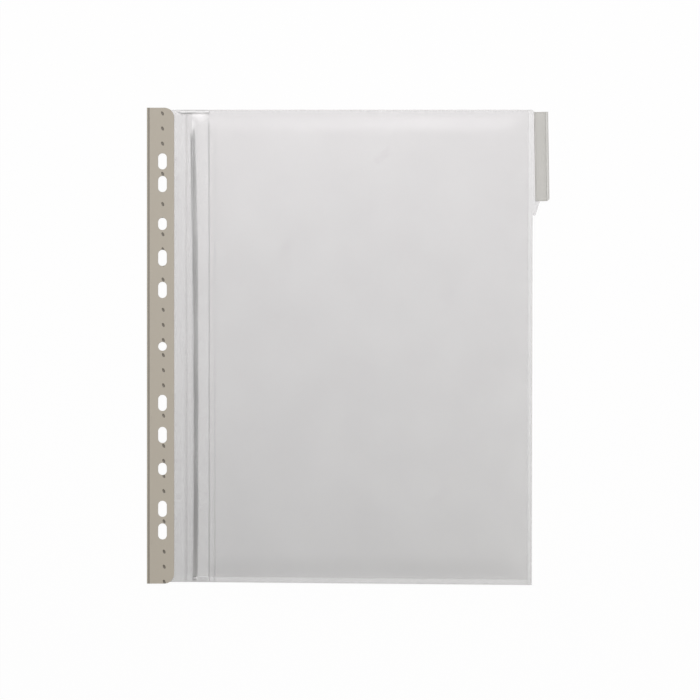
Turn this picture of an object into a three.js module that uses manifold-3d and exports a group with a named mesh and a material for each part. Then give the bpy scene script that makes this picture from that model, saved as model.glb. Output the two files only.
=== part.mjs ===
// An A4 display panel: a clear film pocket with a punched filing strip down its left side,
// a lip along its mouth and a labelled index tab on its free edge. It lies flat, front face up.
// Millimetres. X runs from the strip to the tab, Y up the page, Z out of the front face.
import * as THREE from 'three';
import { mergeVertices } from 'three/addons/utils/BufferGeometryUtils.js';
import Module from 'manifold-3d';

const wasm = await Module();
wasm.setup();

// Filing strip, folded round the left edge of the film. X is measured from its folded edge.
const STRIP_W = 18;
const STRIP_H = 315;
const STRIP_T = 0.5;
const STRIP_CORNER_R = 6.5;

// Punched row. Places are distances of a slot's middle from the round hole, both ways.
const HOLE_X = 10.3;
const HOLE_W = 5.8;
const HOLE_ROW_DROP = 0.5;
const LONG_SLOT = 10.7;
const SHORT_SLOT = 8.1;
const LONG_SLOT_PLACES = [37.4, 58.6, 107.5, 122.5];
const SHORT_SLOT_PLACES = [81.1];

// Weld dents that tack the strip to the film, in one leaning column.
const WELD_PITCH = 10;
const WELD_START = 3.8;
const WELD_W = 1.8;
const WELD_L = 3.2;
const WELD_DEPTH = 0.2;
const WELD_TILT = 24;
const WELD_DRIFT = 1.2;

// The two sheets of film.
const FILM_T = 0.3;
const FILM_W = 255.5;
const FILM_H = 312.5;
const FILM_DROP = 1.4;
const FILM_RUNOUT = 2.1;
const FILM_LEAN = 0.8;
const FOLD_CLEARANCE = 0.3;

// Creases, slit and weld bands of the pocket.
const TURN_X = 25.4;
const SLIT_X = 30.2;
const CREASE_X = 41.1;
const STOP_X = 44.8;
const CREASE_W = 0.8;
const CREASE_DEPTH = 0.12;
const JOINT_GAP = 0.3;
const SLIT_GAP = 0.4;
const LIP_RISE = 1.2;
const LIP_CURL_W = 4;
const INNER_RISE = 0.3;
const INNER_CURL_W = 1.4;
const LIP_NOTCH = 2.3;
const NOTCH_X = 22;
const PAPER_ROOM = 0.3;
const TOP_WELD = 2;
const SIDE_WELD = 2.9;
const FOOT_WELD = 3.6;
const WELD_SLOPE = 0.8;

// Ear of the film that carries the index tab. It slopes down from the film's head.
const EAR_W = 4.6;
const EAR_SHOULDER = 5;
const EAR_STRAIGHT = 61;
const EAR_TAPER = 8.5;
const EAR_TIP_W = 1.9;

// Index tab: a flat grip slot for the ear, and a label chamber with a crowned front over it.
const TAB_W = 9.3;
const TAB_L = 59;
const TAB_WALL = 0.4;
const TAB_CROWN = 0.7;
const TAB_NOSE = 1.9;
const TAB_SIDE_WALL = 0.5;
const TAB_EDGE_DROP = 0.2;
const TAB_CORNER_R = 2.2;
const TAB_LEAN = 0.9;
const TAB_DROP = 1.5;
const TAB_STANDOFF = 0.8;
const GRIP_DEPTH = 6.2;
const GRIP_CLEARANCE = 0.1;

// Card label inside the tab.
const LABEL_T = 0.3;
const LABEL_SIDE_CLEARANCE = 0.25;
const LABEL_FACE_CLEARANCE = 0.15;
const LABEL_END_CLEARANCE = 0.8;
const LABEL_CORNER_R = 0.6;

const ARC_STEPS = 8;
const DENT_STEPS = 2;
const CUT_MARGIN = 1;

// Levels above the table.
const BACK_Z = STRIP_T;
const FRONT_Z = BACK_Z + FILM_T;
const FRONT_TOP = FRONT_Z + FILM_T;
const PANE_Z = FRONT_Z + PAPER_ROOM;
const STRIP_TOP = FRONT_TOP + STRIP_T;

// Places across the page. Y is measured from the middle of the strip.
const STRIP_HEAD = STRIP_H / 2;
const FILM_HEAD = STRIP_HEAD - FILM_DROP;
const FILM_FOOT = FILM_HEAD - FILM_H;
const FILM_START = STRIP_TOP / 2 + FOLD_CLEARANCE;
const PANEL_START = TURN_X + JOINT_GAP / 2;
const LIP_HEAD = FILM_HEAD - LIP_NOTCH;
const LIP_FOOT = FILM_FOOT + FOOT_WELD;

const radians = THREE.MathUtils.degToRad;

// The pocket is cut a little out of square: its foot runs down and its free edge draws in.
function onFilm(x, y) {
  const share = ((x - TURN_X) / (FILM_W - TURN_X)) * ((FILM_HEAD - y) / FILM_H);
  return new THREE.Vector2(x - FILM_LEAN * share, y - FILM_RUNOUT * share);
}

function slab(shape, bottom, top, curveSegments = ARC_STEPS) {
  const options = { depth: top - bottom, bevelEnabled: false, curveSegments };
  return new THREE.ExtrudeGeometry(shape, options).translate(0, 0, bottom);
}

// A section drawn in X and Z, run along Y from foot to head.
function alongPage(section, foot, head) {
  const options = { depth: head - foot, bevelEnabled: false, curveSegments: ARC_STEPS };
  return new THREE.ExtrudeGeometry(section, options).rotateX(Math.PI / 2).translate(0, head, 0);
}

function toSolid(geometry) {
  const bare = geometry.clone();
  bare.deleteAttribute('normal');
  bare.deleteAttribute('uv');
  const merged = mergeVertices(bare);
  return new wasm.Manifold(new wasm.Mesh({
    numProp: 3,
    vertProperties: merged.attributes.position.array,
    triVerts: Uint32Array.from(merged.index.array),
  }));
}

function toGeometry(solid) {
  const mesh = solid.getMesh();
  const geometry = new THREE.BufferGeometry();
  geometry.setAttribute('position', new THREE.BufferAttribute(mesh.vertProperties, 3));
  geometry.setIndex(new THREE.BufferAttribute(mesh.triVerts, 1));
  return geometry;
}

function slotOutline(path, x, y, width, length) {
  const radius = width / 2;
  const reach = (length - width) / 2;
  path.moveTo(x + radius, y - reach);
  path.lineTo(x + radius, y + reach);
  path.absarc(x, y + reach, radius, 0, Math.PI, false);
  path.lineTo(x - radius, y - reach);
  path.absarc(x, y - reach, radius, Math.PI, 2 * Math.PI, false);
  return path;
}

// The punched row, as places and lengths, used by the strip and by both sheets under it.
function punchedHoles() {
  const holes = [{ y: -HOLE_ROW_DROP, length: HOLE_W }];
  const rows = [[LONG_SLOT_PLACES, LONG_SLOT], [SHORT_SLOT_PLACES, SHORT_SLOT]];
  for (const [places, length] of rows) {
    for (const place of places) {
      holes.push({ y: place - HOLE_ROW_DROP, length });
      holes.push({ y: -place - HOLE_ROW_DROP, length });
    }
  }
  return holes;
}

// Punches the row through a piece, from the table to over the strip.
function punch(solid) {
  let punched = solid;
  for (const hole of punchedHoles()) {
    const cut = slotOutline(new THREE.Shape(), HOLE_X, hole.y, HOLE_W, hole.length);
    punched = punched.subtract(toSolid(slab(cut, -CUT_MARGIN, STRIP_TOP + CUT_MARGIN)));
  }
  return punched;
}

function outline(points) {
  return new THREE.Shape(points.map(([x, y]) => new THREE.Vector2(x, y)));
}

// What is cut off a square right-hand corner at (x, y) to round it: side is 1 at the head of
// the page and -1 at its foot.
function cornerWaste(x, y, radius, side) {
  const waste = new THREE.Shape();
  waste.moveTo(x + CUT_MARGIN, y - side * radius);
  waste.lineTo(x + CUT_MARGIN, y + side * CUT_MARGIN);
  waste.lineTo(x - radius, y + side * CUT_MARGIN);
  waste.absarc(x - radius, y - side * radius, radius, side * Math.PI / 2, 0, side > 0);
  return waste;
}

function filingStrip() {
  const fold = STRIP_TOP / 2;
  const section = new THREE.Shape();
  section.moveTo(STRIP_W, 0);
  section.lineTo(STRIP_W, STRIP_T);
  section.lineTo(fold, STRIP_T);
  section.absarc(fold, fold, fold - STRIP_T, -Math.PI / 2, Math.PI / 2, true);
  section.lineTo(STRIP_W, STRIP_TOP - STRIP_T);
  section.lineTo(STRIP_W, STRIP_TOP);
  section.lineTo(fold, STRIP_TOP);
  section.absarc(fold, fold, fold, Math.PI / 2, -Math.PI / 2, false);
  let strip = toSolid(alongPage(section, -STRIP_HEAD, STRIP_HEAD));

  for (const side of [1, -1]) {
    const waste = cornerWaste(STRIP_W, side * STRIP_HEAD, STRIP_CORNER_R, side);
    strip = strip.subtract(toSolid(slab(waste, -CUT_MARGIN, STRIP_TOP + CUT_MARGIN)));
  }
  strip = punch(strip);
  const dentCount = Math.floor((STRIP_H - WELD_START) / WELD_PITCH) + 1;
  for (let i = 0; i < dentCount; i += 1) {
    const down = WELD_START + i * WELD_PITCH;
    const dent = slab(slotOutline(new THREE.Shape(), 0, 0, WELD_W, WELD_L),
      STRIP_TOP - WELD_DEPTH, STRIP_TOP + CUT_MARGIN, DENT_STEPS);
    dent.rotateZ(radians(WELD_TILT));
    dent.translate(HOLE_X + WELD_DRIFT * (down / STRIP_H), STRIP_HEAD - down, 0);
    strip = strip.subtract(toSolid(dent));
  }
  return toGeometry(strip);
}

// One sheet of film from the fold to the crease that the panel turns on.
const MARGIN_END = TURN_X - JOINT_GAP / 2;

function margin(bottom, headCorner) {
  const sheet = outline([[FILM_START, FILM_FOOT], [MARGIN_END, FILM_FOOT], ...headCorner,
    [FILM_START, FILM_HEAD]]);
  return toGeometry(punch(toSolid(slab(sheet, bottom, bottom + FILM_T))));
}

function backMargin() {
  return margin(BACK_Z, [[MARGIN_END, FILM_HEAD]]);
}

// The mouth's notch reaches a little way into the front film's margin.
function frontMargin() {
  return margin(FRONT_Z, [[MARGIN_END, LIP_HEAD], [NOTCH_X, LIP_HEAD], [NOTCH_X, FILM_HEAD]]);
}

// The ear stands on the free edge of both sheets. It starts inside the side weld.
function earPoints() {
  const root = onFilm(FILM_W - SIDE_WELD / 2, FILM_HEAD).x;
  const tipY = FILM_HEAD - EAR_STRAIGHT - EAR_TAPER;
  return {
    root,
    head: [[FILM_W + EAR_W, FILM_HEAD - EAR_SHOULDER], [FILM_W, FILM_HEAD]],
    side: [[onFilm(FILM_W, tipY).x + EAR_TIP_W, tipY],
      [FILM_W + EAR_W, FILM_HEAD - EAR_STRAIGHT]],
    tip: [onFilm(FILM_W, tipY).x, tipY],
  };
}

function backSheet() {
  const ear = earPoints();
  const foot = onFilm(FILM_W, FILM_FOOT);
  const sheet = outline([[PANEL_START, FILM_FOOT], [foot.x, foot.y], ear.tip,
    ...ear.side, ...ear.head, [PANEL_START, FILM_HEAD]]);
  return slab(sheet, BACK_Z, FRONT_Z);
}

// A closed film over a grid of lines: the underside follows level(x, y).
function filmOverGrid(xs, ys, level) {
  const positions = [];
  for (const thickness of [0, FILM_T]) {
    for (const y of ys) {
      for (const x of xs) {
        const place = onFilm(x, y);
        positions.push(place.x, place.y, level(x, y) + thickness);
      }
    }
  }
  const across = xs.length;
  const layer = across * ys.length;
  const index = [];
  const quad = (a, b, c, d) => index.push(a, b, c, a, c, d);
  for (let j = 0; j < ys.length - 1; j += 1) {
    for (let i = 0; i < across - 1; i += 1) {
      const a = j * across + i;
      quad(layer + a, layer + a + 1, layer + a + across + 1, layer + a + across);
      quad(a, a + across, a + across + 1, a + 1);
    }
  }
  for (let i = 0; i < across - 1; i += 1) {
    const last = layer - across + i;
    quad(i, i + 1, layer + i + 1, layer + i);
    quad(last + 1, last, layer + last, layer + last + 1);
  }
  for (let j = 0; j < ys.length - 1; j += 1) {
    const left = j * across;
    const right = left + across - 1;
    quad(left + across, left, layer + left, layer + left + across);
    quad(right, right + across, layer + right + across, layer + right);
  }
  const geometry = new THREE.BufferGeometry();
  geometry.setAttribute('position', new THREE.Float32BufferAttribute(positions, 3));
  geometry.setIndex(index);
  return geometry;
}

// Front pane: raised by the room for paper, with flat weld bands on three sides and a crease.
function frontSheet() {
  const start = CREASE_X + JOINT_GAP / 2;
  const sideBand = FILM_W - SIDE_WELD;
  const footBand = FILM_FOOT + FOOT_WELD;
  const headBand = FILM_HEAD - TOP_WELD;
  const xs = [start, STOP_X - CREASE_W / 2, STOP_X, STOP_X + CREASE_W / 2,
    sideBand - WELD_SLOPE, sideBand, FILM_W];
  const ys = [FILM_FOOT, footBand, footBand + WELD_SLOPE, headBand - WELD_SLOPE, headBand,
    FILM_HEAD];
  const level = (x, y) => {
    const inside = Math.min(sideBand - x, headBand - y, y - footBand) / WELD_SLOPE;
    const lift = THREE.MathUtils.clamp(inside, 0, 1);
    const crease = x === STOP_X ? CREASE_DEPTH * lift : 0;
    return FRONT_Z + PAPER_ROOM * lift - crease;
  };
  const pane = toSolid(filmOverGrid(xs, ys, level));

  const ear = earPoints();
  const earShape = outline([[ear.root, ear.tip[1]], ear.tip, ...ear.side, ...ear.head,
    [ear.root, FILM_HEAD]]);
  const foot = footBand - JOINT_GAP;
  const footEnd = onFilm(start + WELD_SLOPE, FILM_FOOT);
  const footShape = outline([[PANEL_START, FILM_FOOT], [footEnd.x, footEnd.y],
    [footEnd.x, foot], [PANEL_START, foot]]);
  return toGeometry(pane.add(toSolid(slab(earShape, FRONT_Z, FRONT_TOP)))
    .add(toSolid(slab(footShape, FRONT_Z, FRONT_TOP))));
}

// A film seen edge-on: its lower line is given, and its upper line stands FILM_T off it.
function filmSection(lower) {
  const upper = lower.map((point, i) => {
    const before = lower[Math.max(i - 1, 0)];
    const after = lower[Math.min(i + 1, lower.length - 1)];
    const along = after.clone().sub(before).normalize();
    return new THREE.Vector2(point.x - along.y * FILM_T, point.y + along.x * FILM_T);
  });
  return new THREE.Shape([...lower, ...upper.reverse()]);
}

// A lip's lower line from its root to the slit, where its edge curls up.
function lipLine(root, edge, level, curlWidth, rise) {
  const side = Math.sign(edge - root);
  const line = [new THREE.Vector2(root, level)];
  for (let i = 0; i <= ARC_STEPS; i += 1) {
    const share = i / ARC_STEPS;
    line.push(new THREE.Vector2(edge - side * curlWidth * (1 - share),
      level + rise * (1 - Math.cos(share * Math.PI)) / 2));
  }
  return line;
}

function innerLip() {
  const edge = SLIT_X - SLIT_GAP / 2 - FILM_T;
  const line = lipLine(PANEL_START, edge, FRONT_Z, INNER_CURL_W, INNER_RISE);
  return alongPage(filmSection(line), LIP_FOOT, LIP_HEAD);
}

function frontLip() {
  const root = CREASE_X - JOINT_GAP / 2;
  const line = lipLine(root, SLIT_X + SLIT_GAP / 2, PANE_Z, LIP_CURL_W, LIP_RISE);
  return alongPage(filmSection(line.reverse()), LIP_FOOT, LIP_HEAD);
}

// Levels inside the tab: the grip slot, and over it the label chamber.
const GRIP_Z = BACK_Z - GRIP_CLEARANCE;
const GRIP_TOP = FRONT_TOP + GRIP_CLEARANCE;
const CHAMBER_Z = GRIP_TOP + TAB_WALL;
const CHAMBER_SIDE_TOP = CHAMBER_Z + LABEL_T + LABEL_FACE_CLEARANCE;
const CHAMBER_END = TAB_W - TAB_NOSE;

// Rise of the crowned front over the tab's width.
function crown(x) {
  const share = (x - TAB_SIDE_WALL) / (CHAMBER_END - TAB_SIDE_WALL);
  return TAB_CROWN * 4 * share * (1 - share);
}

function indexTab() {
  const shoulder = CHAMBER_SIDE_TOP + TAB_WALL;
  const nose = shoulder / 2;
  const section = new THREE.Shape();
  section.moveTo(0, GRIP_TOP);
  section.lineTo(GRIP_DEPTH, GRIP_TOP);
  section.lineTo(GRIP_DEPTH, GRIP_Z);
  section.lineTo(0, GRIP_Z);
  section.lineTo(0, 0);
  section.lineTo(TAB_W - nose, 0);
  section.absarc(TAB_W - nose, nose, nose, -Math.PI / 2, Math.PI / 2, false);
  for (let i = ARC_STEPS; i >= 0; i -= 1) {
    const x = TAB_SIDE_WALL + (CHAMBER_END - TAB_SIDE_WALL) * (i / ARC_STEPS);
    section.lineTo(x, shoulder + crown(x));
  }
  section.lineTo(0, shoulder - TAB_EDGE_DROP);

  const chamber = new THREE.Path();
  chamber.moveTo(TAB_SIDE_WALL, CHAMBER_Z);
  chamber.lineTo(CHAMBER_END, CHAMBER_Z);
  for (let i = ARC_STEPS; i >= 0; i -= 1) {
    const x = TAB_SIDE_WALL + (CHAMBER_END - TAB_SIDE_WALL) * (i / ARC_STEPS);
    chamber.lineTo(x, CHAMBER_SIDE_TOP + crown(x));
  }
  section.holes.push(chamber);

  const tab = toSolid(alongPage(section, -TAB_L, 0));
  const waste = cornerWaste(TAB_W, -TAB_L, TAB_CORNER_R, -1);
  const above = shoulder + TAB_CROWN + CUT_MARGIN;
  return toGeometry(tab.subtract(toSolid(slab(waste, -CUT_MARGIN, above))));
}

function tabLabel() {
  const left = TAB_SIDE_WALL + LABEL_SIDE_CLEARANCE;
  const right = CHAMBER_END - LABEL_SIDE_CLEARANCE;
  const head = -LABEL_END_CLEARANCE;
  const foot = -TAB_L + LABEL_END_CLEARANCE;
  const r = LABEL_CORNER_R;
  const card = new THREE.Shape();
  card.moveTo(left + r, foot);
  card.absarc(right - r, foot + r, r, -Math.PI / 2, 0, false);
  card.absarc(right - r, head - r, r, 0, Math.PI / 2, false);
  card.absarc(left + r, head - r, r, Math.PI / 2, Math.PI, false);
  card.absarc(left + r, foot + r, r, Math.PI, 1.5 * Math.PI, false);
  return slab(card, CHAMBER_Z, CHAMBER_Z + LABEL_T);
}

const embossed = { color: 0xb3ad9e, roughness: 0.62, metalness: 0 };
const clearFilm = { color: 0xd9d9d9, roughness: 0.22, metalness: 0, transparent: true, opacity: 0.4 };
const greyPlastic = { color: 0xc6c5c0, roughness: 0.3, metalness: 0, transparent: true, opacity: 0.6 };
const card = { color: 0xe6e5e0, roughness: 0.85, metalness: 0 };

function piece(name, geometry, finish) {
  const mesh = new THREE.Mesh(geometry, new THREE.MeshStandardMaterial(finish));
  mesh.name = name;
  return mesh;
}

const panel = new THREE.Group();
panel.add(piece('filing_strip', filingStrip(), embossed));
panel.add(piece('back_margin', backMargin(), clearFilm));
panel.add(piece('front_margin', frontMargin(), clearFilm));
panel.add(piece('back_sheet', backSheet(), clearFilm));
panel.add(piece('front_sheet', frontSheet(), clearFilm));
panel.add(piece('inner_lip', innerLip(), clearFilm));
panel.add(piece('front_lip', frontLip(), clearFilm));

// The tab and its label lean together, about the tab's upper inner corner.
const tab = new THREE.Group();
tab.add(piece('index_tab', indexTab(), greyPlastic));
tab.add(piece('tab_label', tabLabel(), card));
tab.position.set(FILM_W + TAB_STANDOFF, FILM_HEAD - TAB_DROP, 0);
tab.rotation.z = radians(TAB_LEAN);
panel.add(tab);

// The origin is under the middle of the whole panel.
panel.updateMatrixWorld(true);
const middle = new THREE.Box3().setFromObject(panel).getCenter(new THREE.Vector3());
panel.position.set(-middle.x, -middle.y, 0);

export default panel;
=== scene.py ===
import math

import bmesh
import bpy
import numpy as np
from mathutils import Matrix, Vector


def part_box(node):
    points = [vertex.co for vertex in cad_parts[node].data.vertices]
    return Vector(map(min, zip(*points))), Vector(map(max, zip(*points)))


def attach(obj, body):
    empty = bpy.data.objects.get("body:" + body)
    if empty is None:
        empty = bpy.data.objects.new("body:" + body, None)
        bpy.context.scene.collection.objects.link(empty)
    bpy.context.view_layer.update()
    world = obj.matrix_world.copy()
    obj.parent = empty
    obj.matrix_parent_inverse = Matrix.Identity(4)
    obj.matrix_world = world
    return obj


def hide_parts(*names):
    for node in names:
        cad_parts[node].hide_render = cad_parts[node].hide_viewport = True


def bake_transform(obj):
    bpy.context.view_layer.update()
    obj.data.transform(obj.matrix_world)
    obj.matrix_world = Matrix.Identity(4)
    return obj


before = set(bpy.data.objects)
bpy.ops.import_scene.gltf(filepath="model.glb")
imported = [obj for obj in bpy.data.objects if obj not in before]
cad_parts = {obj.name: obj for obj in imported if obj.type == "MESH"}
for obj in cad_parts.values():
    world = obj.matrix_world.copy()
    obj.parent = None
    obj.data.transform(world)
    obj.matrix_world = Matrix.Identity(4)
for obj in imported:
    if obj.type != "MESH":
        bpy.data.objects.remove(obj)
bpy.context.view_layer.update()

# Camera. It looks straight down at the panel, as the photograph does. The photograph is square,
# and one of its pixels is 0.6623 mm on the panel. Its middle lies a little below and to the
# right of the panel's own middle.
MM = 0.001
PHOTO_PIXELS = 700
PHOTO_MM_A_PIXEL = 0.6623
PHOTO_FOLD_X, PHOTO_STRIP_MIDDLE_Y = 147.0, 345.65
CAMERA_HEIGHT = 2.2
SENSOR_W = 36

strip_low, strip_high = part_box("filing_strip")
fold_x = strip_low[0]
middle_y = (strip_low[1] + strip_high[1]) / 2


def on_page(x, y, z=0.0):
    """A place in metres from millimetres off the strip's folded edge, its middle and the table."""
    return Vector((fold_x + x * MM, middle_y + y * MM, z * MM))


half_photo = PHOTO_PIXELS / 2
aim = on_page(
    (half_photo - PHOTO_FOLD_X) * PHOTO_MM_A_PIXEL,
    (PHOTO_STRIP_MIDDLE_Y - half_photo) * PHOTO_MM_A_PIXEL,
)
camera_data = bpy.data.cameras.new("photo_camera")
camera_data.sensor_width = SENSOR_W
camera_data.lens = SENSOR_W * CAMERA_HEIGHT / (PHOTO_PIXELS * PHOTO_MM_A_PIXEL * MM)
camera = bpy.data.objects.new("photo_camera", camera_data)
camera.location = aim + Vector((0, 0, CAMERA_HEIGHT))
bpy.context.scene.collection.objects.link(camera)
bpy.context.scene.camera = camera
bpy.context.scene.view_settings.view_transform = "Standard"


# Studio light. A bank of soft boxes hangs over the page, brighter over its head than its middle,
# so that the film mirrors less of it towards the foot. A narrow strip light just under the
# head box shines on the lips' raised heads, and a weak box fills in from the right, beyond
# the foot.
def soft_box(name, place, aim_at, width, height, watts, tint):
    data = bpy.data.lights.new(name, "AREA")
    data.shape = "RECTANGLE"
    data.size, data.size_y = width, height
    data.energy = watts
    data.color = tint
    lamp = bpy.data.objects.new(name, data)
    lamp.location = place
    lamp.rotation_euler = (Vector(aim_at) - Vector(place)).to_track_quat("-Z", "Y").to_euler()
    bpy.context.scene.collection.objects.link(lamp)


soft_box("head_soft_box", (0.0, 0.5, 1.7), (0, 0.3, 0), 1.2, 0.66, 9.6, (1.0, 0.96, 0.975))
soft_box("middle_soft_box", (0.0, -0.01, 1.7), (0, -0.01, 0), 1.2, 0.36, 3.2, (1.0, 0.97, 0.98))
soft_box("head_strip_light", (0.0, 0.66, 1.62), (0, 0.2, 0), 0.8, 0.12, 6.0, (1.0, 0.97, 0.98))
soft_box("foot_fill", (0.58, -0.5, 2.4), (0, 0, 0), 1.0, 1.0, 4.8, (1.0, 0.99, 0.94))


def add_node(tree, kind, sockets=None, **settings):
    """Adds a node, sets it, and fills its inputs: a socket is linked and a value is written."""
    made = tree.nodes.new(kind)
    for name, value in settings.items():
        setattr(made, name, value)
    for key, value in (sockets or {}).items():
        if isinstance(value, bpy.types.NodeSocket):
            tree.links.new(value, made.inputs[key])
        else:
            made.inputs[key].default_value = value
    return made


def background_rays(tree):
    """1 for rays that see a background: the camera's, and mirrored and refracted ones."""
    path = add_node(tree, "ShaderNodeLightPath")
    seen = add_node(tree, "ShaderNodeMath", {
        0: path.outputs["Is Camera Ray"], 1: path.outputs["Is Glossy Ray"]}, operation="ADD")
    return add_node(tree, "ShaderNodeMath", {
        0: seen.outputs[0], 1: path.outputs["Is Transmission Ray"]},
        operation="ADD", use_clamp=True).outputs[0]


ROOM_LIGHT = 0.29
world = bpy.data.worlds.new("white_studio")
bpy.context.scene.world = world
world.use_nodes = True
world.node_tree.nodes.clear()
room = add_node(world.node_tree, "ShaderNodeBackground", {
    "Color": (1.0, 0.99, 0.975, 1), "Strength": ROOM_LIGHT})
white = add_node(world.node_tree, "ShaderNodeBackground", {"Color": (1, 1, 1, 1), "Strength": 1.0})
sky = add_node(world.node_tree, "ShaderNodeMixShader", {
    0: background_rays(world.node_tree), 1: room.outputs[0], 2: white.outputs[0]})
add_node(world.node_tree, "ShaderNodeOutputWorld", {"Surface": sky.outputs[0]})


# Table. A plain white sheet that shows as white and keeps a faint shadow of the panel. It lies a
# hair below the panel, so that the two share no face.
TABLE_SIZE = 6.0
TABLE_DROP = 0.05
TABLE_WHITE_SHARE = 0.93


def linear(hex_colour):
    """An sRGB hex colour as linear RGBA."""
    parts = [int(hex_colour[i:i + 2], 16) / 255 for i in (1, 3, 5)]
    return tuple(c / 12.92 if c <= 0.04045 else ((c + 0.055) / 1.055) ** 2.4 for c in parts) + (1,)


def new_material(name):
    material = bpy.data.materials.new(name)
    material.use_nodes = True
    material.node_tree.nodes.clear()
    return material, material.node_tree


table_paper, tree = new_material("white_table_sheet")
lit = add_node(tree, "ShaderNodeBsdfDiffuse", {"Color": linear("#fbfbfb")})
shown = add_node(tree, "ShaderNodeEmission", {"Color": (1, 1, 1, 1), "Strength": 1.0})
share = add_node(tree, "ShaderNodeMath", {0: background_rays(tree), 1: TABLE_WHITE_SHARE},
                 operation="MULTIPLY")
mixed = add_node(tree, "ShaderNodeMixShader", {0: share.outputs[0], 1: lit.outputs[0],
                 2: shown.outputs[0]})
add_node(tree, "ShaderNodeOutputMaterial", {"Surface": mixed.outputs[0]})

table_mesh = bpy.data.meshes.new("table")
reach = TABLE_SIZE / 2
table_mesh.from_pydata([(-reach, -reach, 0), (reach, -reach, 0), (reach, reach, 0),
                        (-reach, reach, 0)], [], [(0, 1, 2, 3)])
table = bpy.data.objects.new("table", table_mesh)
table.location.z = -TABLE_DROP * MM
table_mesh.materials.append(table_paper)
bpy.context.scene.collection.objects.link(table)


# Filing strip. One band of taupe polypropylene, folded round the films' left edge, punched with
# the filing row and tacked down by a column of ultrasonic weld dents. Its right corners are
# rounded. The sheet is finely embossed, which gives it a dry, even sheen.
STRIP_W, STRIP_H, STRIP_T, STRIP_THICK = 18.0, 315.0, 0.5, 1.6
STRIP_CORNER_R = 6.5
HOLE_X, HOLE_W, HOLE_ROW_DROP = 10.3, 5.8, 0.5
LONG_SLOT, SHORT_SLOT = 10.7, 8.1
LONG_SLOT_PLACES, SHORT_SLOT_PLACES = (37.4, 58.6, 107.5, 122.5), (81.1,)
WELD_PITCH, WELD_START, WELD_W, WELD_L = 10.0, 3.8, 1.7, 3.0
WELD_DEPTH, WELD_TILT, WELD_DRIFT, WELD_LIFT = 0.24, 24.0, 1.2, 0.04
STRIP_EDGE_R = 0.12
SHARP_ANGLE = math.radians(50)
CUT_MARGIN = 1.0


def new_object(name, mesh, *materials):
    made = bpy.data.objects.new(name, mesh)
    for material in materials:
        mesh.materials.append(material)
    bpy.context.scene.collection.objects.link(made)
    return made


def apply_modifier(target, kind, **settings):
    modifier = target.modifiers.new(kind.lower(), kind)
    for name, value in settings.items():
        setattr(modifier, name, value)
    bpy.context.view_layer.objects.active = target
    bpy.ops.object.modifier_apply(modifier=modifier.name)


def round_edges(target, radius):
    apply_modifier(target, "BEVEL", width=radius * MM, segments=2, limit_method="ANGLE",
                   angle_limit=SHARP_ANGLE)


def cut(target, cutter):
    apply_modifier(target, "BOOLEAN", operation="DIFFERENCE", solver="EXACT", object=cutter,
                   material_mode="TRANSFER")
    bpy.data.objects.remove(cutter)


def arc(x, y, radius, start, end, steps):
    """Points round a centre, from one angle in degrees to another."""
    angles = np.radians(np.linspace(start, end, steps + 1))
    return [(x + radius * math.cos(a), y + radius * math.sin(a)) for a in angles]


def slot_points(x, y, width, length, steps=20):
    radius, off = width / 2, (length - width) / 2
    return arc(x, y + off, radius, 0, 180, steps) + arc(x, y - off, radius, 180, 360, steps)


def prism(bm, points, low, high, to_place):
    """Adds a closed prism: points in a plane, run between two levels by to_place(a, b, level)."""
    ends = [[bm.verts.new(to_place(a, b, level)) for a, b in points] for level in (low, high)]
    bm.faces.new(list(reversed(ends[0])))
    bm.faces.new(ends[1])
    for i in range(len(points)):
        j = (i + 1) % len(points)
        bm.faces.new((ends[0][i], ends[0][j], ends[1][j], ends[1][i]))


def object_from(bm, name, *materials):
    """Joins what was drawn into one closed mesh, and makes an object of it."""
    bmesh.ops.remove_doubles(bm, verts=bm.verts, dist=1e-7)
    bmesh.ops.recalc_face_normals(bm, faces=bm.faces)
    mesh = bpy.data.meshes.new(name)
    bm.to_mesh(mesh)
    bm.free()
    return new_object(name, mesh, *materials)


def punched_row():
    """Middle and length of every hole in the strip."""
    row = [(-HOLE_ROW_DROP, HOLE_W)]
    for places, length in ((LONG_SLOT_PLACES, LONG_SLOT), (SHORT_SLOT_PLACES, SHORT_SLOT)):
        for place in places:
            row += [(place - HOLE_ROW_DROP, length), (-place - HOLE_ROW_DROP, length)]
    return row


def row_cutter():
    bm = bmesh.new()
    for y, length in punched_row():
        prism(bm, slot_points(HOLE_X, y, HOLE_W, length), -2 * CUT_MARGIN,
              STRIP_THICK + 2 * CUT_MARGIN, on_page)
    return object_from(bm, "row_cutter")


# Embossed polypropylene: solid-coloured, so the taupe only drifts a little. The roller's grain
# is about 0.4 mm, drawn as 0.7 mm so that it shows. Just beside the fold a dark line is painted:
# painted shade, where the rounded fold turns away from the lamps. A noise node's values mostly
# lie between NOISE_LOW and NOISE_HIGH.
EMBOSS_GRAIN, EMBOSS_DEPTH, COLOUR_DRIFT = 0.7 * MM, 0.08 * MM, 40 * MM
# Painted shade: a dark line just beside the fold.
FOLD_SHADE_X, FOLD_SHADE_CORE, FOLD_SHADE_FADE = 1.35 * MM, 0.15 * MM, 0.7 * MM
NOISE_LOW, NOISE_HIGH = 0.3, 0.7
strip_plastic, tree = new_material("embossed_polypropylene_taupe")
coords = add_node(tree, "ShaderNodeTexCoord").outputs["Object"]
drift = add_node(tree, "ShaderNodeTexNoise", {"Vector": coords, "Scale": 1 / COLOUR_DRIFT,
                 "Detail": 3.0, "Roughness": 0.5})
taupe = add_node(tree, "ShaderNodeMix", {0: drift.outputs["Fac"], 6: linear("#aaa396"),
                 7: linear("#afa99a")}, data_type="RGBA")
across = add_node(tree, "ShaderNodeSeparateXYZ", {0: coords})
from_line = add_node(tree, "ShaderNodeMath", {0: across.outputs["X"],
                     1: fold_x + FOLD_SHADE_X}, operation="SUBTRACT")
aside = add_node(tree, "ShaderNodeMath", {0: from_line.outputs[0]}, operation="ABSOLUTE")
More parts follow.
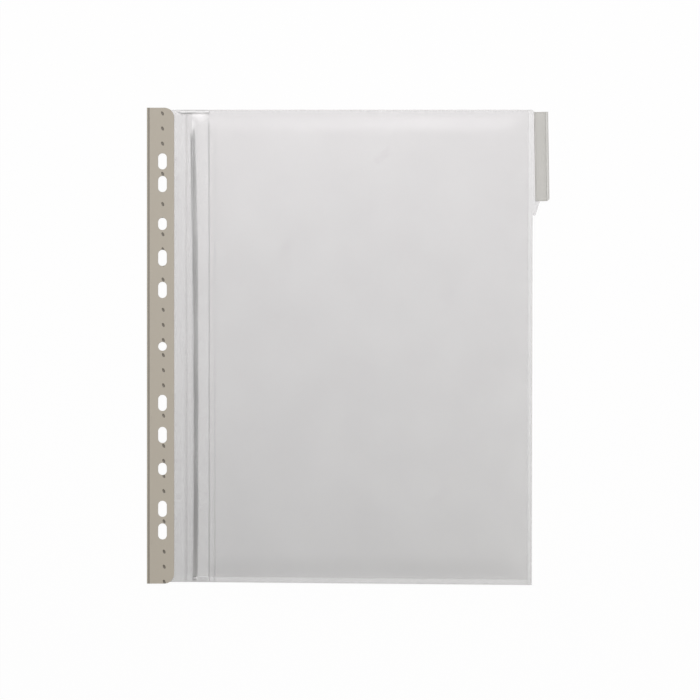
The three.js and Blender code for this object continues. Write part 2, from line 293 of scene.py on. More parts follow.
# Painted shade along the fold, mixed into the taupe.
fold_shade_mask = add_node(tree, "ShaderNodeMapRange", {
    0: aside.outputs[0], 1: FOLD_SHADE_CORE, 2: FOLD_SHADE_FADE, 3: 1.0, 4: 0.0},
    interpolation_type="SMOOTHSTEP")
fold_shaded_taupe = add_node(tree, "ShaderNodeMix", {0: fold_shade_mask.outputs[0], 6: taupe.outputs[2],
                  7: linear("#6b665b")}, data_type="RGBA")
grain = add_node(tree, "ShaderNodeTexNoise", {"Vector": coords, "Scale": 1 / EMBOSS_GRAIN,
                 "Detail": 2.0, "Roughness": 0.6})
worn = add_node(tree, "ShaderNodeMapRange", {0: grain.outputs["Fac"], 1: NOISE_LOW,
                2: NOISE_HIGH, 3: 0.46, 4: 0.58})
bump = add_node(tree, "ShaderNodeBump", {"Height": grain.outputs["Fac"], "Strength": 0.25,
                "Distance": EMBOSS_DEPTH})
shader = add_node(tree, "ShaderNodeBsdfPrincipled", {
    "Base Color": fold_shaded_taupe.outputs[2], "Roughness": worn.outputs[0], "IOR": 1.49,
    "Normal": bump.outputs[0]})
add_node(tree, "ShaderNodeOutputMaterial", {"Surface": shader.outputs[0]})

# The same plastic in the weld dents, which the weld's horn melted: glazed, and coloured darker,
# partly from the melt and partly as painted shade deepening the hollows.
DENT_MOTTLE = 1.2 * MM
dent_glaze_and_shade_plastic, tree = new_material("ultrasonic_weld_dent_glazed_and_shaded")
coords = add_node(tree, "ShaderNodeTexCoord").outputs["Object"]
flow = add_node(tree, "ShaderNodeTexNoise", {"Vector": coords, "Scale": 1 / DENT_MOTTLE,
                "Detail": 2.0})
# Partly painted shade: the dents' hollows are coloured darker than the strip.
dark = add_node(tree, "ShaderNodeMix", {0: flow.outputs["Fac"], 6: linear("#4d483e"),
                7: linear("#6a6457")}, data_type="RGBA")
shader = add_node(tree, "ShaderNodeBsdfPrincipled", {
    "Base Color": dark.outputs[2], "Roughness": 0.38, "IOR": 1.49})
add_node(tree, "ShaderNodeOutputMaterial", {"Surface": shader.outputs[0]})

fold_r = STRIP_THICK / 2
section = [(STRIP_W, 0), (STRIP_W, STRIP_T)]
section += arc(fold_r, fold_r, fold_r - STRIP_T, 270, 90, 16)
section += [(STRIP_W, STRIP_THICK - STRIP_T), (STRIP_W, STRIP_THICK)]
section += arc(fold_r, fold_r, fold_r, 90, 270, 24)
bm = bmesh.new()
prism(bm, section, -STRIP_H / 2, STRIP_H / 2, lambda x, z, y: on_page(x, y, z))
strip = object_from(bm, "punched_strip", strip_plastic)
cut(strip, row_cutter())
bm = bmesh.new()
for side in (1, -1):
    corner_y = side * STRIP_H / 2
    waste = [(STRIP_W + CUT_MARGIN, corner_y - side * STRIP_CORNER_R),
             (STRIP_W + CUT_MARGIN, corner_y + side * CUT_MARGIN),
             (STRIP_W - STRIP_CORNER_R, corner_y + side * CUT_MARGIN)]
    waste += arc(STRIP_W - STRIP_CORNER_R, corner_y - side * STRIP_CORNER_R, STRIP_CORNER_R,
                 side * 90, 0, 24)
    prism(bm, waste, -CUT_MARGIN, STRIP_THICK + CUT_MARGIN, on_page)
cut(strip, object_from(bm, "corner_cutter"))
round_edges(strip, STRIP_EDGE_R)

bm = bmesh.new()
dent_count = int((STRIP_H - WELD_START) // WELD_PITCH) + 1
for i in range(dent_count):
    down = WELD_START + i * WELD_PITCH
    place = on_page(HOLE_X + WELD_DRIFT * down / STRIP_H, STRIP_H / 2 - down,
                    STRIP_THICK + WELD_LIFT)
    turn = Matrix.Rotation(math.radians(WELD_TILT), 4, "Z")
    size = Matrix.Diagonal((WELD_W / 2 * MM, WELD_L / 2 * MM, WELD_DEPTH * MM, 1))
    bmesh.ops.create_uvsphere(bm, u_segments=20, v_segments=12, radius=1,
                              matrix=Matrix.Translation(place) @ turn @ size)
cut(strip, object_from(bm, "dent_cutter", dent_glaze_and_shade_plastic))
strip.data.shade_smooth()
apply_modifier(strip, "WEIGHTED_NORMAL", keep_sharp=True)
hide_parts("filing_strip")
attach(strip, "strip")


# Back film. One sheet of clear polypropylene the size of the whole pocket, with the ear that
# carries the tab. It runs into the folded strip, where it is punched, and is pressed with the
# shallow crease that the panel turns on.
FILM_T, BACK_Z = 0.3, 0.5
FRONT_Z = BACK_Z + FILM_T
FILM_W, FILM_H, FILM_DROP = 255.5, 312.5, 1.4
FILM_RUNOUT, FILM_LEAN = 2.1, 0.8
FILM_HEAD = STRIP_H / 2 - FILM_DROP
FILM_FOOT = FILM_HEAD - FILM_H
FOLD_CLEARANCE = 0.3
FILM_START = STRIP_THICK / 2 + FOLD_CLEARANCE
FOOT_WELD, SIDE_WELD, TOP_WELD, WELD_SLOPE = 3.6, 2.9, 2.0, 14.0
side_band, foot_band, head_band = FILM_W - SIDE_WELD, FILM_FOOT + FOOT_WELD, FILM_HEAD - TOP_WELD
BILLOW, WELD_EDGE = 0.08, 0.8
WELD_CLEARING, MOUTH_WELD_SHARE, HEAD_WELD_SHARE = 0.26, 0.2, 0.3
EDGE_CLOUDING, EDGE_W = 0.35, 0.9
TURN_X, TURN_REACH, CREASE_X = 25.4, 3.6, 41.1
TURN_CREASE_W, TURN_CREASE_DEPTH = 2.4, 0.03
TURN_CLOUDING, TURN_CLOUD_OFF, TURN_CLOUD_W = 0.2, 0.5, 3
NOTCH_X, LIP_NOTCH = 22.0, 1.8
# The last is painted shade on the back film's bare head strip.
BARE_EDGE_RISE, BARE_EDGE_W, BARE_SHADE_HAZE = 0.1, 0.5, 0.5
EAR_W, EAR_SHOULDER, EAR_STRAIGHT, EAR_TAPER, EAR_TIP_W = 4.6, 5.0, 61.0, 8.5, 1.9
EAR_FOOT = FILM_HEAD - EAR_STRAIGHT - EAR_TAPER

# Cast film: hazy grey, and darker where it is seen through its thickness. Only its hazy share is
# shaded, so that share's index is high enough to give it all its gloss. Its roughness stays over
# 0.274, below which the denoiser takes a surface for a mirror.
FILM_HAZE, FILM_STEEP_HAZE = 0.28, 0.38
FLAT_FACE, STEEP_FACE = 0.99, 0.85
STREAK_L, CALENDER_WAVE = 60 * MM, 30 * MM
film_plastic, tree = new_material("cast_polypropylene_film_clear")
source = add_node(tree, "ShaderNodeTexCoord")
face = add_node(tree, "ShaderNodeSeparateXYZ", {0: source.outputs["Normal"]})
flat = add_node(tree, "ShaderNodeMath", {0: face.outputs["Z"]}, operation="ABSOLUTE")
steep = add_node(tree, "ShaderNodeMapRange", {0: flat.outputs[0], 1: FLAT_FACE, 2: STEEP_FACE,
                 3: FILM_HAZE, 4: FILM_STEEP_HAZE}, interpolation_type="SMOOTHSTEP")
flow = add_node(tree, "ShaderNodeTexNoise", {"Vector": source.outputs["Object"],
                "Scale": 1 / STREAK_L, "Detail": 1.0})
streak = add_node(tree, "ShaderNodeMapRange", {0: flow.outputs["Fac"], 1: NOISE_LOW,
                  2: NOISE_HIGH, 3: 0.97, 4: 1.03})
# The cloud attribute raises the haze, so more of the dark body shows: the film's own clouding, and
# painted shade along the slit, the lips' heads, the bare head strip and the stop crease.
cloud = add_node(tree, "ShaderNodeAttribute", attribute_name="cloud")
clouded = add_node(tree, "ShaderNodeMath", {0: steep.outputs[0], 1: cloud.outputs["Fac"]},
                   operation="MULTIPLY")
haze = add_node(tree, "ShaderNodeMath", {0: clouded.outputs[0], 1: streak.outputs[0]},
                operation="MULTIPLY")
calender = add_node(tree, "ShaderNodeTexNoise", {"Vector": source.outputs["Object"],
                    "Scale": 1 / CALENDER_WAVE, "Detail": 1.0})
gloss = add_node(tree, "ShaderNodeMapRange", {0: calender.outputs["Fac"], 1: NOISE_LOW,
                 2: NOISE_HIGH, 3: 0.276, 4: 0.296})
body = add_node(tree, "ShaderNodeBsdfPrincipled", {
    "Base Color": linear("#5c5b59"), "Roughness": gloss.outputs[0], "IOR": 1.9,
    "Specular IOR Level": 1.0})
clear = add_node(tree, "ShaderNodeBsdfTransparent", {"Color": (1, 1, 1, 1)})
mixed = add_node(tree, "ShaderNodeMixShader", {0: haze.outputs[0], 1: clear.outputs[0],
                 2: body.outputs[0]})
add_node(tree, "ShaderNodeOutputMaterial", {"Surface": mixed.outputs[0]})


def grid_lines(*stretches):
    """Grid lines in millimetres, each stretch given as (from, to, spaces)."""
    return np.unique(np.round(np.concatenate([np.linspace(a, b, n + 1) for a, b, n in stretches]),
                              4))


def out_of_square(x, y):
    """The pocket's foot runs down towards its free edge, which draws in towards the foot."""
    share = np.clip((x - TURN_X) / (FILM_W - TURN_X), 0, None) * (FILM_HEAD - y) / FILM_H
    return x - FILM_LEAN * share, y - FILM_RUNOUT * share


def ear_outline(x, y):
    """The ear slopes down from the film's head, and draws in below its straight part."""
    beyond = np.clip((x - FILM_W) / EAR_W, 0, 1)
    below = np.clip((FILM_HEAD - EAR_STRAIGHT - y) / EAR_TAPER, 0, 1)
    above = np.clip((y - (FILM_HEAD - 2 * EAR_SHOULDER)) / (2 * EAR_SHOULDER), 0, 1)
    return x - beyond * below * (EAR_W - EAR_TIP_W), y - beyond * above * EAR_SHOULDER


def film(name, xs, ys, keep, underside, cloud, side_shift=None, runs_on=None):
    """A sheet of film over a grid. keep(x, y) says which cells hold film, underside gives its
    lower level and cloud how many times hazier it is there. It has no end wall where runs_on
    says that it runs on into the next piece."""
    x, y = np.meshgrid(xs, ys)
    step = 0.02
    slope_x = (underside(x + step, y) - underside(x - step, y)) / (2 * step)
    slope_y = (underside(x, y + step) - underside(x, y - step)) / (2 * step)
    length = np.sqrt(slope_x ** 2 + slope_y ** 2 + 1)
    px, py = out_of_square(*ear_outline(x, y))
    if side_shift is not None:
        px = px + side_shift(x, y)
    low = np.stack([px, py, underside(x, y)], axis=-1)
    off = np.stack([-slope_x / length, -slope_y / length, 1 / length], axis=-1) * FILM_T
    points = np.concatenate([low.reshape(-1, 3), (low + off).reshape(-1, 3)]) * MM
    points += np.array([fold_x, middle_y, 0])
    rows, columns = x.shape
    layer = rows * columns
    held = keep((x[:-1, :-1] + x[1:, 1:]) / 2, (y[:-1, :-1] + y[1:, 1:]) / 2)
    faces, smooth = [], []
    for j, i in zip(*np.nonzero(held)):
        a = j * columns + i
        ring = (a, a + 1, a + columns + 1, a + columns)
        faces += [tuple(layer + v for v in ring), ring[::-1]]
        smooth += [True, True]
        beside = ((j - 1, i), (j, i + 1), (j + 1, i), (j, i - 1))
        for side, (nj, ni) in enumerate(beside):
            if 0 <= nj < rows - 1 and 0 <= ni < columns - 1 and held[nj, ni]:
                continue
            p, q = ring[side], ring[(side + 1) % 4]
            if runs_on and runs_on((x.flat[p] + x.flat[q]) / 2, (y.flat[p] + y.flat[q]) / 2):
                continue
            faces.append((p, q, layer + q, layer + p))
            smooth.append(False)
    used = np.unique(np.array(faces))
    place = np.full(2 * layer, -1)
    place[used] = np.arange(len(used))
    mesh = bpy.data.meshes.new(name)
    mesh.from_pydata(points[used].tolist(), [], place[np.array(faces)].tolist())
    mesh.polygons.foreach_set("use_smooth", smooth)
    mesh.set_sharp_from_angle(angle=SHARP_ANGLE)
    amount = np.broadcast_to(cloud(x, y), x.shape).reshape(-1)
    mesh.attributes.new("cloud", "FLOAT", "POINT").data.foreach_set(
        "value", np.tile(amount, 2)[used].astype(np.float32))
    return new_object(name, mesh, film_plastic)


def smooth_step(value):
    value = np.clip(value, 0, 1)
    return value * value * (3 - 2 * value)


def bump_at(x, middle, width):
    """1 at the middle, down to 0 half a width away."""
    return np.clip(1 - ((x - middle) / (width / 2)) ** 2, 0, None) ** 1.5


def groove(x, middle, width, depth):
    """A pressed crease: a rounded valley."""
    return -depth * bump_at(x, middle, width)


def turn_groove(x):
    """The shallow crease that the panel turns on, pressed into both films."""
    return groove(x, TURN_X, TURN_CREASE_W, TURN_CREASE_DEPTH)


def billow(x, y, phase):
    """The film's own slow waves, about a tenth of a millimetre high. They die out at the mouth."""
    waves = np.sin(x / 31 + phase) * np.sin(y / 47 + 2 * phase) + np.sin(x / 57 - y / 39 + phase)
    return BILLOW * waves * np.clip((x - 30) / 30, 0, 1)


def fused(x, y):
    """1 where the two films are welded together, which makes them clearer, and 0 elsewhere. The
    weld under the mouth is faint, and so is the one along the head."""
    side = smooth_step((x - side_band) / WELD_EDGE + 0.5)
    under_mouth = np.where(x < CREASE_X, MOUTH_WELD_SHARE, 1)
    foot = smooth_step((foot_band - y) / WELD_EDGE + 0.5) * under_mouth
    head = smooth_step((y - head_band) / WELD_EDGE + 0.5)
    return np.maximum(side, np.maximum(foot, head * HEAD_WELD_SHARE))


def film_cloud(x, y):
    """Cut edges are hazier, welds are clearer, and so are the ears, which are one weld."""
    past_side = np.where(y < EAR_FOOT, x - FILM_W + EDGE_W, 0)
    past_edge = np.maximum(np.maximum(past_side, y - FILM_HEAD + EDGE_W),
                           FILM_FOOT + EDGE_W - y) / EDGE_W
    edge = np.clip(past_edge, 0, 1) * (x < FILM_W + 0.1)
    return 1 - WELD_CLEARING * fused(x, y) + EDGE_CLOUDING * edge ** 2


def is_ear(x, y):
    return (x > FILM_W) & (y > EAR_FOOT)


def margin_cloud(x, y):
    """The films' margin clouds along the crease that the panel turns on."""
    return film_cloud(x, y) + TURN_CLOUDING * bump_at(x, TURN_X + TURN_CLOUD_OFF, TURN_CLOUD_W)


def behind_notch(x):
    """The stretch of the back film's head that the notched lips leave bare."""
    return (x > NOTCH_X) & (x < CREASE_X)


def back_underside(x, y):
    edge = BARE_EDGE_RISE * np.clip(1 - (FILM_HEAD - y) / BARE_EDGE_W, 0, 1) * behind_notch(x)
    return BACK_Z + turn_groove(x) + billow(x, y, 0.4) + edge


def back_haze_and_shade(x, y):
    # The bare head strip is painted darker: painted shade beside the lips' raised heads.
    return margin_cloud(x, y) + BARE_SHADE_HAZE * behind_notch(x) * (y > FILM_HEAD - LIP_NOTCH)


back_xs = grid_lines((FILM_START, 18, 4), (18, 21.5, 2), (21.5, 29.5, 24), (29.5, 45, 6),
                     (45, side_band - 2, 50), (side_band - 2, FILM_W, 10),
                     (FILM_W, FILM_W + EAR_W, 3))
page_ys = grid_lines((FILM_FOOT, FILM_FOOT + 6, 12), (FILM_FOOT + 6, EAR_FOOT, 58),
                     (EAR_FOOT, FILM_HEAD - EAR_STRAIGHT, 4),
                     (FILM_HEAD - EAR_STRAIGHT, FILM_HEAD - 10, 12),
                     (FILM_HEAD - 10, FILM_HEAD - 2, 6), (FILM_HEAD - 2, FILM_HEAD, 10))
back_film = film(
    "back_film", back_xs, page_ys,
    lambda x, y: (x < FILM_W) | is_ear(x, y),
    back_underside, back_haze_and_shade)
cut(back_film, row_cutter())
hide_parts("back_margin", "back_sheet")


def bend_at_crease(piece):
    """Bakes the piece's placement into its mesh; the film is not bent at the crease."""
    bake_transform(piece)


bend_at_crease(back_film)


# Front film, inner part. It reaches from inside the strip to the slit, and runs on under the
# mouth as part of the foot weld. The slit was cut with the film clamped, and its edges have set
# upwards, so they stand as a low wavy ridge. Along the mouth the front film's head is notched,
# and stops short of the back film's.
SLIT_X, SLIT_GAP = 30.2, 0.15
CREASE_W, CREASE_DEPTH = 1.0, 0.08
STOP_X = 44.8
PAPER_ROOM = 0.3
LIP_RISE, LIP_CURL_W = 1.2, 3.9
INNER_STEEPNESS, INNER_CURL_W = 0.2, 0.25
SLIT_LIMIT, HEAD_CALM = -0.12, 8
BURR_RISE, BURR_W = 0.28, 1.1
INNER_BOW, INNER_BOW_REACH = 0.2, 12
RUN_ON_OFF, RUN_ON_W, RUN_ON_RISE, RUN_ON_CLOUDING = 1.4, 3.6, 0.3, 2.4
# The last two are painted shade, darkening the inner lip's curl by the slit and its head edge.
LIP_CLOUDING, CURL_SHADE_HAZE, INNER_HEAD_SHADE_HAZE = 0.2, 0.3, 0.4
MOUTH_BAND = FILM_FOOT + FOOT_WELD - 0.3
LIP_HEAD, LIP_FOOT = FILM_HEAD - LIP_NOTCH, FILM_FOOT + FOOT_WELD
LINE_OFF, LINE_LEAN, LINE_BOW = 0.65, 1.08, 1.25
LONG_RIPPLE, SHORT_RIPPLE = 0.06, 0.05


def mouth_line(y):
    """How far the mouth's dark line strays sideways: a slow bow with a slight ripple."""
    share = y / (FILM_H / 2)
    bow = LINE_OFF - LINE_LEAN * share - LINE_BOW * share ** 2
    return bow + LONG_RIPPLE * np.sin(y / 9.5) + SHORT_RIPPLE * np.sin(y / 5.3 + 1.0)


def slit_wander(y):
    """The slit follows that line, but runs straight near the head, where the inner lip's curl
    makes the line instead. So the raised outer lip clears the strip in the turned panel."""
    return np.maximum(mouth_line(y), SLIT_LIMIT)


def slit_shift(x, y):
    near = np.clip(1 - np.abs(x - SLIT_X) / 6, 0, 1)
    return slit_wander(y) * smooth_step(near) * smooth_step((y - MOUTH_BAND) / 4)


def burr(y, head):
    """The die that cut an edge turned its last millimetre up."""
    return BURR_RISE * np.clip(1 - (head - y) / BURR_W, 0, 1) ** 1.3


def curl(x, y, edge, width):
    """Share of a lip's rise, from 0 at the curl's root to 1 at the slit. Towards the head it
    narrows and all but sinks away, and the lips bow there instead."""
    narrowed = width * (0.5 + 0.5 * smooth_step((LIP_HEAD - HEAD_CALM - y) / 90))
    share = np.clip(1 - np.abs(x - edge) / narrowed, 0, 1) * np.sqrt(narrowed / width)
    fade = 0.05 + 0.95 * smooth_step((LIP_HEAD - 3 - y) / 13)
    return share ** 1.15 * fade * (1 + 0.12 * np.sin(y / 12.5 + width))


def head_bow(across, y, height, reach):
    """The lips bow up a little behind their free ends, and flatten slowly down the page."""
    down = np.clip(LIP_HEAD - y, 0, None)
    return height * across * (1 - np.exp(-down / 4)) * np.exp(-down / reach)


inner_end = SLIT_X - SLIT_GAP / 2
inner_xs = grid_lines((FILM_START, 18, 4), (18, NOTCH_X, 2), (NOTCH_X, 28, 20),
                      (28, inner_end, 12), (inner_end, 34, 10), (34, CREASE_X, 3))
lip_ys = grid_lines((FILM_FOOT, MOUTH_BAND, 7), (MOUTH_BAND, LIP_FOOT, 1),
                    (LIP_FOOT, LIP_HEAD - 12, 110), (LIP_HEAD - 12, LIP_HEAD - 1, 16),
                    (LIP_HEAD - 1, LIP_HEAD, 6), (LIP_HEAD, FILM_HEAD, 5))


def inner_curl_width(y):
    """The inner lip's curl reaches from the mouth's dark line to the slit."""
    return INNER_CURL_W + slit_wander(y) - mouth_line(y)


def below_head(y):
    """The inner lip's curl dies out towards the head."""
    return smooth_step((LIP_HEAD - HEAD_CALM - y) / 12)


def slit_run_on(x, y):
    """The slit left a puckered ridge in the foot weld below it: 1 along it, and 0 elsewhere."""
    along = smooth_step((y - FILM_FOOT - 0.6) / 2) * (y < MOUTH_BAND)
    return bump_at(x, SLIT_X + RUN_ON_OFF, RUN_ON_W) * along


def lip_head_edge(y):
    """1 along the last half millimetre of the lips' head, fading to 0 just below that."""
    return smooth_step((y - LIP_HEAD + 1.4) / 0.8)


def inner_underside(x, y):
    loose = smooth_step((y - MOUTH_BAND) / 5) * (x < inner_end + 0.05)
    free = smooth_step((x - TURN_X) / 3.5)
    wide = inner_curl_width(y)
    share = np.clip(1 - (inner_end - x) / wide, 0, 1) * below_head(y)
    rise = INNER_STEEPNESS * wide * share ** 1.1 + head_bow(free, y, INNER_BOW, INNER_BOW_REACH)
    edge = burr(y, LIP_HEAD) * (x > NOTCH_X) * (y < LIP_HEAD + 0.1)
    return FRONT_Z + turn_groove(x) + RUN_ON_RISE * slit_run_on(x, y) + loose * rise + edge


def inner_haze_and_shade(x, y):
    """The narrow inner lip is hazier than the rest, and so is the slit's run-on in the weld. Its
    curl by the slit and its head edge are painted darker: painted shade of the lifted lip and its
    raised head.
    """
    lip = smooth_step((x - TURN_X - 1) / 1.5) * smooth_step((y - MOUTH_BAND) / 3)
    # Painted shade along the head edge, and below along the curl by the slit.
    head_edge = lip_head_edge(y) * smooth_step((x - NOTCH_X) / 3)
    curled = smooth_step(1.2 - (inner_end - x) / inner_curl_width(y)) * below_head(y)
    return (margin_cloud(x, y) + LIP_CLOUDING * lip + INNER_HEAD_SHADE_HAZE * head_edge
            + CURL_SHADE_HAZE * curled * (y > MOUTH_BAND) + RUN_ON_CLOUDING * slit_run_on(x, y))


def on_crease(x):
    return abs(x - CREASE_X) < 0.01


def mouth_band_end(x, y):
    return on_crease(x) and y < MOUTH_BAND


inner_film = film(
    "inner_film", inner_xs, lip_ys,
    lambda x, y: (x < NOTCH_X) | ((x < inner_end) & (y < LIP_HEAD)) | (y < MOUTH_BAND),
    inner_underside, inner_haze_and_shade, slit_shift, mouth_band_end)
cut(inner_film, row_cutter())
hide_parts("front_margin", "inner_lip")
bend_at_crease(inner_film)


# Front film, outer part. The lip, the two pressed creases that let it lift, the pane over the
# pocket, and the weld bands where the films are fused along the head, the free edge and the
# foot.
ARCH_X, ARCH_HALF_W, ARCH_RISE, ARCH_REACH = 34.5, 6.5, 0.85, 40
SEAM_W, SEAM_DEPTH, SEAM_CLOUD_W = 1.6, 0.04, 1.2
SIDE_SEAM_CLOUDING, FOOT_SEAM_CLOUDING = 0.3, 0.1
CREASE_CLOUDING, CREASE_CLOUDING_DOWN = 0.15, 1.1
# Painted shade along the stop crease, faint at the head and stronger down the page.
STOP_SHADE_HAZE, STOP_SHADE_HAZE_DOWN = 0.05, 0.35
# The first two are painted shade: beside the slit and along the lip's head edge.
SLIT_SHADE_HAZE, LIP_HEAD_SHADE_HAZE, LIP_CLEARING = 0.42, 0.8, 0.1
lip_start = SLIT_X + SLIT_GAP / 2


def front_underside(x, y):
    inside = np.minimum(np.minimum(side_band - x, head_band - y), y - foot_band) / WELD_SLOPE
    lift = smooth_step(inside)
    lift = lift + (1 - lift) * smooth_step((CREASE_X - x) / 8)
    level = FRONT_Z + PAPER_ROOM * lift
    creases = (groove(x, CREASE_X, CREASE_W, CREASE_DEPTH)
               + groove(x, STOP_X, CREASE_W, CREASE_DEPTH * 0.8)) * lift
    arch = np.clip(1 - ((x - ARCH_X) / ARCH_HALF_W) ** 2, 0, 1)
    seam = groove(x, side_band, SEAM_W, SEAM_DEPTH) * (y < FILM_HEAD - 0.5)
    return (level + creases + seam + LIP_RISE * curl(x, y, lip_start, LIP_CURL_W)
            + head_bow(arch, y, ARCH_RISE, ARCH_REACH) + burr(y, LIP_HEAD) * (x < CREASE_X)
            + billow(x, y, 1.7) * lift)


def front_haze_and_shade(x, y):
    """The crease at the lip's root is cloudy, more so down the page. The stop crease's line,
    stronger down the page, is painted shade. The lip beside the slit is painted darker, more so
    down the
    page: painted shade beside the lifted lip's edge. The lip's head edge is painted darker too,
    painted shade along the raised heads. The inner edges of the side and foot welds are cloudy."""
    down = np.clip((LIP_HEAD - y) / FILM_H, 0, 1)
    crease = CREASE_CLOUDING + CREASE_CLOUDING_DOWN * down
    # The stop crease's line is painted shade.
    stop = STOP_SHADE_HAZE + STOP_SHADE_HAZE_DOWN * down
    creases = (crease * bump_at(x, CREASE_X, CREASE_W * 1.4)
               + stop * bump_at(x, STOP_X, CREASE_W * 2))
    # Painted shade beside the slit, stronger down the page.
    off_slit = x - lip_start
    slit = SLIT_SHADE_HAZE + 0.5 * down ** 2 + down ** 6
    slit = slit * (1.3 - 0.2 * off_slit) * smooth_step((LIP_CURL_W + 0.4 - off_slit) / 2)
    fade = smooth_step((LIP_HEAD - 3 - y) / 55)
    # Painted shade along the lip's head edge.
    head_edge = (LIP_HEAD_SHADE_HAZE - 0.05 * off_slit) * lip_head_edge(y)
    seam = (SIDE_SEAM_CLOUDING * bump_at(x, side_band, SEAM_CLOUD_W)
            + FOOT_SEAM_CLOUDING * bump_at(y, foot_band, SEAM_CLOUD_W) * (x > CREASE_X))
    lip = (slit * fade + head_edge - LIP_CLEARING) * (x < CREASE_X)
    return film_cloud(x, y) + creases + lip + seam


def lip_root_end(x, y):
    return on_crease(x) and y < LIP_FOOT


front_xs = grid_lines((lip_start, 34.4, 18), (34.4, 40.4, 8), (40.4, 41.8, 10), (41.8, 44.2, 4),
                      (44.2, 45.4, 8), (45.4, 46.4, 2), (46.4, side_band - 2, 48),
                      (side_band - 2, side_band, 5), (side_band, FILM_W, 7),
                      (FILM_W, FILM_W + EAR_W, 3))
front_ys = grid_lines((FILM_FOOT, foot_band, 8), (foot_band, foot_band + WELD_SLOPE, 12),
                      (foot_band + WELD_SLOPE, EAR_FOOT, 84),
                      (EAR_FOOT, FILM_HEAD - EAR_STRAIGHT, 5),
                      (FILM_HEAD - EAR_STRAIGHT, LIP_HEAD - 12, 18),
                      (LIP_HEAD - 12, LIP_HEAD - 1, 14), (LIP_HEAD - 1, LIP_HEAD, 6),
                      (LIP_HEAD, head_band, 2), (head_band, FILM_HEAD, 5))
front_film = film(
    "front_film", front_xs, front_ys,
    lambda x, y: ((x > CREASE_X) & (x < FILM_W)) | is_ear(x, y)
    | ((x < CREASE_X) & (y > LIP_FOOT) & (y < LIP_HEAD)),
    front_underside, front_haze_and_shade, slit_shift, lip_root_end)
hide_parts("front_sheet", "front_lip")
bend_at_crease(front_film)


# Index tab. A sleeve of translucent grey plastic, extruded in one length and cut off: a flat
# slot grips the film's ear, and over it a crowned window holds the card. The closed side is a
# solid rounded nose. It sits a little askew on the ear, as pushed on by hand.
TAB_W, TAB_L, TAB_WALL, TAB_CROWN = 9.3, 59.0, 0.4, 0.7
TAB_NOSE, TAB_SIDE_WALL, TAB_CORNER_R = 1.9, 0.5, 2.2
TAB_LEAN, TAB_DROP, TAB_STANDOFF = 0.9, 1.5, 0.8
GRIP_DEPTH, GRIP_CLEARANCE = 6.2, 0.1
LABEL_T, LABEL_FACE_CLEARANCE = 0.3, 0.15
TAB_CHAMFER, TAB_INNER_DROP, TAB_OUTER_DROP, TAB_EDGE_R = 0.15, 0.1, 0.3, 0.06

grip_z, grip_top = BACK_Z - GRIP_CLEARANCE, FRONT_Z + FILM_T + GRIP_CLEARANCE
chamber_z = grip_top + TAB_WALL
chamber_side = chamber_z + LABEL_T + LABEL_FACE_CLEARANCE
chamber_end = TAB_W - TAB_NOSE
shoulder = chamber_side + TAB_WALL


def on_tab(x, z, y):
    """A place in the tab's own frame, off its upper inner corner."""
    return Vector((x, y, z)) * MM


def crown_points(level, steps=20):
    """The window's crowned line, from the nose to the side wall."""
    shares = np.linspace(1, 0, steps + 1)
    return [(TAB_SIDE_WALL + (chamber_end - TAB_SIDE_WALL) * s,
             level + TAB_CROWN * 4 * s * (1 - s)) for s in shares]


# Extruded translucent plastic: smoky, and unevenly so along its length. Its thick parts are
# hazier, and paler because they gather light.
TAB_HAZE, TAB_NOSE_HAZE, TAB_WALL_HAZE = 0.18, 0.62, 0.95
TAB_FLOW = 12 * MM
tab_plastic, tree = new_material("extruded_grey_translucent_plastic")
coords = add_node(tree, "ShaderNodeTexCoord").outputs["Object"]
flow = add_node(tree, "ShaderNodeTexNoise", {"Vector": coords, "Scale": 1 / TAB_FLOW,
                "Detail": 2.0})
drifting = add_node(tree, "ShaderNodeMapRange", {0: flow.outputs["Fac"], 1: NOISE_LOW,
                    2: NOISE_HIGH, 3: 0.95, 4: 1.05})
solid = add_node(tree, "ShaderNodeAttribute", attribute_name="cloud")
haze = add_node(tree, "ShaderNodeMath", {0: solid.outputs["Fac"], 1: drifting.outputs[0]},
                operation="MULTIPLY")
thick = add_node(tree, "ShaderNodeMapRange", {0: solid.outputs["Fac"], 1: TAB_HAZE,
                 2: TAB_NOSE_HAZE, 3: 0.0, 4: 1.0})
grey = add_node(tree, "ShaderNodeMix", {0: thick.outputs[0], 6: linear("#bcbcb6"),
                7: linear("#d6d6d1")}, data_type="RGBA")
body = add_node(tree, "ShaderNodeBsdfPrincipled", {
    "Base Color": grey.outputs[2], "Roughness": 0.45, "IOR": 1.5})
clear = add_node(tree, "ShaderNodeBsdfTransparent", {"Color": (1, 1, 1, 1)})
mixed = add_node(tree, "ShaderNodeMixShader", {0: haze.outputs[0], 1: clear.outputs[0],
                 2: body.outputs[0]})
add_node(tree, "ShaderNodeOutputMaterial", {"Surface": mixed.outputs[0]})

nose = shoulder / 2
outer = [(0, TAB_CHAMFER), (TAB_CHAMFER, 0), (chamber_end, 0)]
outer += arc(TAB_W - nose, nose, nose, -90, 90, 20)
outer += crown_points(shoulder)
outer += [(TAB_CHAMFER, shoulder - TAB_INNER_DROP), (0, shoulder - TAB_OUTER_DROP)]
bm = bmesh.new()
prism(bm, outer, -TAB_L, 0, on_tab)
tab = object_from(bm, "tab_sleeve", tab_plastic)
hollow = [(TAB_SIDE_WALL, chamber_z), (chamber_end, chamber_z)] + crown_points(chamber_side)
grip = [(-CUT_MARGIN, grip_z), (GRIP_DEPTH, grip_z)]
grip += [(GRIP_DEPTH, grip_top), (-CUT_MARGIN, grip_top)]
for spare in (hollow, grip):
    bm = bmesh.new()
    prism(bm, spare, -TAB_L - CUT_MARGIN, CUT_MARGIN, on_tab)
    cut(tab, object_from(bm, "tab_cutter"))
waste = [(TAB_W + CUT_MARGIN, -TAB_L + TAB_CORNER_R), (TAB_W + CUT_MARGIN, -TAB_L - CUT_MARGIN),
         (TAB_W - TAB_CORNER_R, -TAB_L - CUT_MARGIN)]
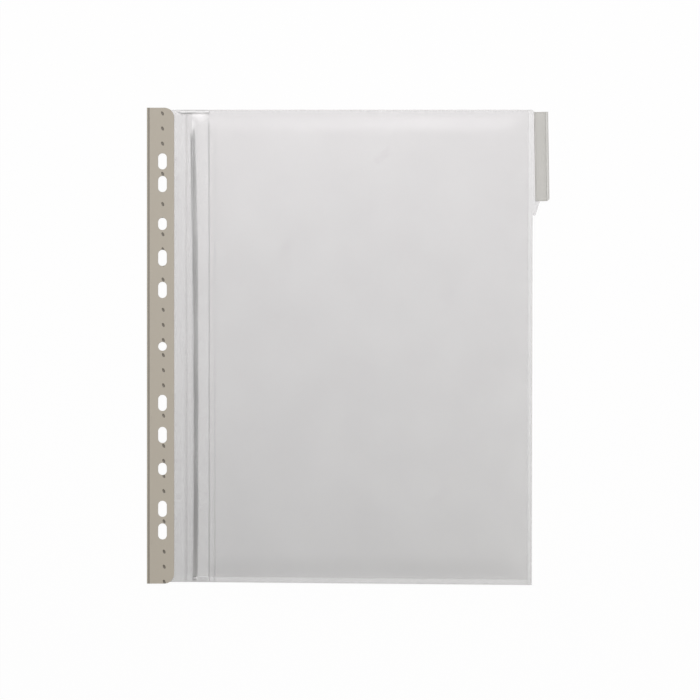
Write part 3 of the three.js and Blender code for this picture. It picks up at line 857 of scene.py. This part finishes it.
waste += arc(TAB_W - TAB_CORNER_R, -TAB_L + TAB_CORNER_R, TAB_CORNER_R, -90, 0, 16)
bm = bmesh.new()
prism(bm, waste, -CUT_MARGIN, shoulder + 2 * CUT_MARGIN, lambda x, y, z: on_tab(x, z, y))
cut(tab, object_from(bm, "corner_cutter"))
tab.data.shade_smooth()
round_edges(tab, TAB_EDGE_R)
apply_modifier(tab, "WEIGHTED_NORMAL", keep_sharp=True)


def tab_cloud(point):
    """How hazy the tab is at a point: its window least, its walls and base most."""
    if point.x > (chamber_end + 0.2) * MM:
        return TAB_NOSE_HAZE
    if point.x < (TAB_SIDE_WALL + 0.2) * MM or point.z < (chamber_z + 0.05) * MM:
        return TAB_WALL_HAZE
    return TAB_HAZE


tab.data.attributes.new("cloud", "FLOAT", "POINT").data.foreach_set(
    "value", [tab_cloud(v.co) for v in tab.data.vertices])
tab.data.transform(Matrix.Translation(on_page(FILM_W + TAB_STANDOFF, FILM_HEAD - TAB_DROP))
                   @ Matrix.Rotation(math.radians(TAB_LEAN), 4, "Z"))
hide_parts("index_tab")
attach(tab, "tab")


# Card label. A blank die-cut card of uncoated stock, slid into the tab's window. The CAD card
# has the right shape and stays. Its paper shows a faint fibre, drawn coarser than it is, as
# 0.6 mm, so that it shows.
CARD_FIBRE = 0.6 * MM
label_paper, tree = new_material("uncoated_card_die_cut")
coords = add_node(tree, "ShaderNodeTexCoord").outputs["Object"]
fibre = add_node(tree, "ShaderNodeTexNoise", {"Vector": coords, "Scale": 1 / CARD_FIBRE,
                 "Detail": 3.0})
tone = add_node(tree, "ShaderNodeMix", {0: fibre.outputs["Fac"], 6: linear("#e6e6e3"),
                7: linear("#ebebe8")}, data_type="RGBA")
shader = add_node(tree, "ShaderNodeBsdfPrincipled", {
    "Base Color": tone.outputs[2], "Roughness": 0.85, "IOR": 1.45})
add_node(tree, "ShaderNodeOutputMaterial", {"Surface": shader.outputs[0]})
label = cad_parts["tab_label"]
label.data.materials.clear()
label.data.materials.append(label_paper)
